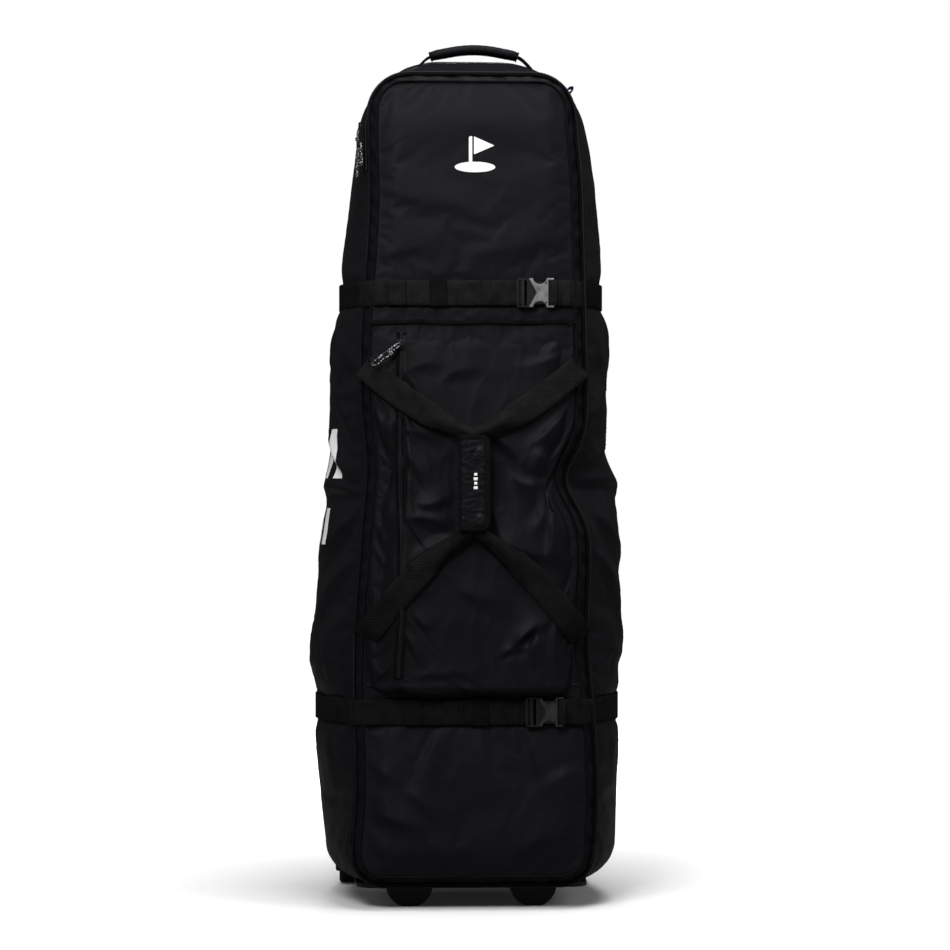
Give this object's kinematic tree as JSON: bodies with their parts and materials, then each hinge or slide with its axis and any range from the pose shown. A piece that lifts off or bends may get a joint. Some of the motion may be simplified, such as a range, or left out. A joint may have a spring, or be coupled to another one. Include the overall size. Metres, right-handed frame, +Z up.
{
  "type": "wheeled golf travel case",
  "caption": "Tall soft-sided wheeled travel case for a golf bag, with a zipped side-hinged front lid, a bulging front pocket, compression straps and a centre carry grip.",
  "frame": {"origin": "on the floor, under the middle of the overall box", "axes": "+X to the right seen from the front, +Y to the back with the wheels, +Z up the case's length"},
  "size_m": [0.465, 0.4299, 1.2935],
  "materials": {
    "shell_fabric": "woven nylon, matt",
    "lid_fabric": "woven nylon, matt, padded",
    "webbing": "ribbed webbing",
    "zip": "zip tape and coil",
    "zip_metal": "black lacquered",
    "cord": "black cord with pale flecks",
    "buckle": "satin grey-black acetal",
    "plastic": "moulded, fine texture",
    "tyre": "matt",
    "steel": "plain",
    "foam": "closed-cell foam",
    "snap": "black lacquered",
    "tab": "dark blue webbing",
    "board": "stiffener sheet"
  },
  "bodies": {
    "case": {"main_shell": "shell_fabric", "back_board": "board", "base_tray": "plastic", "wheel_housing_left": "plastic", "wheel_housing_right": "plastic", "wheel_axles": "steel", "front_feet": "plastic", "base_screws": "steel", "skid_rails": "plastic", "rail_rivets": "steel", "main_zip_case_half": "zip", "upper_strap_back": "webbing", "lower_strap_back": "webbing", "top_handle_tabs": "webbing", "side_tab": "tab", "inner_straps": "webbing", "inner_buckles": "buckle", "crown_pad": "foam", "back_piping": "webbing"},
    "lid": {"lid_shell": "lid_fabric", "lid_foam_pad": "foam", "lid_piping": "webbing", "main_zip_lid_half": "zip", "pocket_shell": "shell_fabric", "pocket_zip": "zip", "upper_strap_front": "webbing", "lower_strap_front": "webbing", "upper_strap_end": "webbing", "lower_strap_end": "webbing", "upper_buckle_female": "buckle", "lower_buckle_female": "buckle", "carry_patches": "webbing", "carry_arm_upper_left": "webbing", "carry_arm_upper_right": "webbing", "carry_arm_lower_left": "webbing", "carry_arm_lower_right": "webbing"},
    "upper_clip": {"upper_buckle_male": "buckle"},
    "lower_clip": {"lower_buckle_male": "buckle"},
    "upper_loop": {"upper_keeper": "webbing"},
    "lower_loop": {"lower_keeper": "webbing"},
    "carry_grip": {"grip_webbing": "webbing", "grip_sleeve": "lid_fabric", "snap_studs": "snap"},
    "grip_wrap": {"grip_flap": "lid_fabric", "snap_caps": "snap"},
    "top_handle": {"top_handle_webbing": "webbing", "top_handle_grip": "lid_fabric"},
    "pocket_pull": {"pocket_slider": "zip_metal", "pocket_pull_cord": "cord"},
    "main_pull_upper": {"main_slider_upper": "zip_metal", "main_pull_upper_cord": "cord"},
    "main_pull_lower": {"main_slider_lower": "zip_metal", "main_pull_lower_cord": "cord"},
    "left_wheel": {"wheel_left_tyre": "tyre", "wheel_left_hub": "plastic", "wheel_left_bearings": "steel"},
    "right_wheel": {"wheel_right_tyre": "tyre", "wheel_right_hub": "plastic", "wheel_right_bearings": "steel"}
  },
  "joints": [
    {"name": "left_wheel_spin", "type": "hinge", "parent": "case", "child": "left_wheel", "pos_m": [-0.1805, 0.17696, 0.038], "axis": [1, 0, 0], "continuous": true},
    {"name": "right_wheel_spin", "type": "hinge", "parent": "case", "child": "right_wheel", "pos_m": [0.1805, 0.17696, 0.038], "axis": [1, 0, 0], "continuous": true},
    {"name": "lid_hinge", "type": "hinge", "parent": "case", "child": "lid", "pos_m": [-0.18, -0.15504, 0.036], "axis": [-0.0233, -0.0349, -0.9991], "range_deg": [0, 120]},
    {"name": "top_handle_swing", "type": "hinge", "parent": "case", "child": "top_handle", "pos_m": [0.008, -0.02704, 1.268], "axis": [1, 0, 0], "range_deg": [-40, 60], "stiffness_Nm_per_rad": 0.05},
    {"name": "carry_grip_lift", "type": "slide", "parent": "lid", "child": "carry_grip", "axis": [0, -0.9994, 0.0349], "range_m": [0, 0.06], "deforming": ["carry_arm_upper_left", "carry_arm_upper_right", "carry_arm_lower_left", "carry_arm_lower_right"]},
    {"name": "grip_flap_open", "type": "hinge", "parent": "carry_grip", "child": "grip_wrap", "pos_m": [-0.0225, -0.20824, 0.62722], "axis": [0, -0.0349, -0.9994], "range_deg": [0, 150]},
    {"name": "upper_buckle_release", "type": "slide", "parent": "lid", "child": "upper_clip", "axis": [-1, 0, 0], "range_m": [0, 0.025]},
    {"name": "lower_buckle_release", "type": "slide", "parent": "lid", "child": "lower_clip", "axis": [-1, 0, 0], "range_m": [0, 0.025]},
    {"name": "upper_keeper_slide", "type": "slide", "parent": "lid", "child": "upper_loop", "axis": [1, 0, 0], "range_m": [-0.03, 0.03]},
    {"name": "lower_keeper_slide", "type": "slide", "parent": "lid", "child": "lower_loop", "axis": [1, 0, 0], "range_m": [-0.03, 0.02]},
    {"name": "pocket_slider_slide", "type": "slide", "parent": "lid", "child": "pocket_pull", "axis": [0, -0.0946, -0.9955], "range_m": [0, 0.44]},
    {"name": "main_slider_upper_slide", "type": "slide", "parent": "case", "child": "main_pull_upper", "axis": [0.0233, 0.0349, 0.9991], "range_m": [0, 0.03]},
    {"name": "main_slider_lower_slide", "type": "slide", "parent": "case", "child": "main_pull_lower", "axis": [0.0233, 0.0349, 0.9991], "range_m": [0, 0.008]}
  ]
}
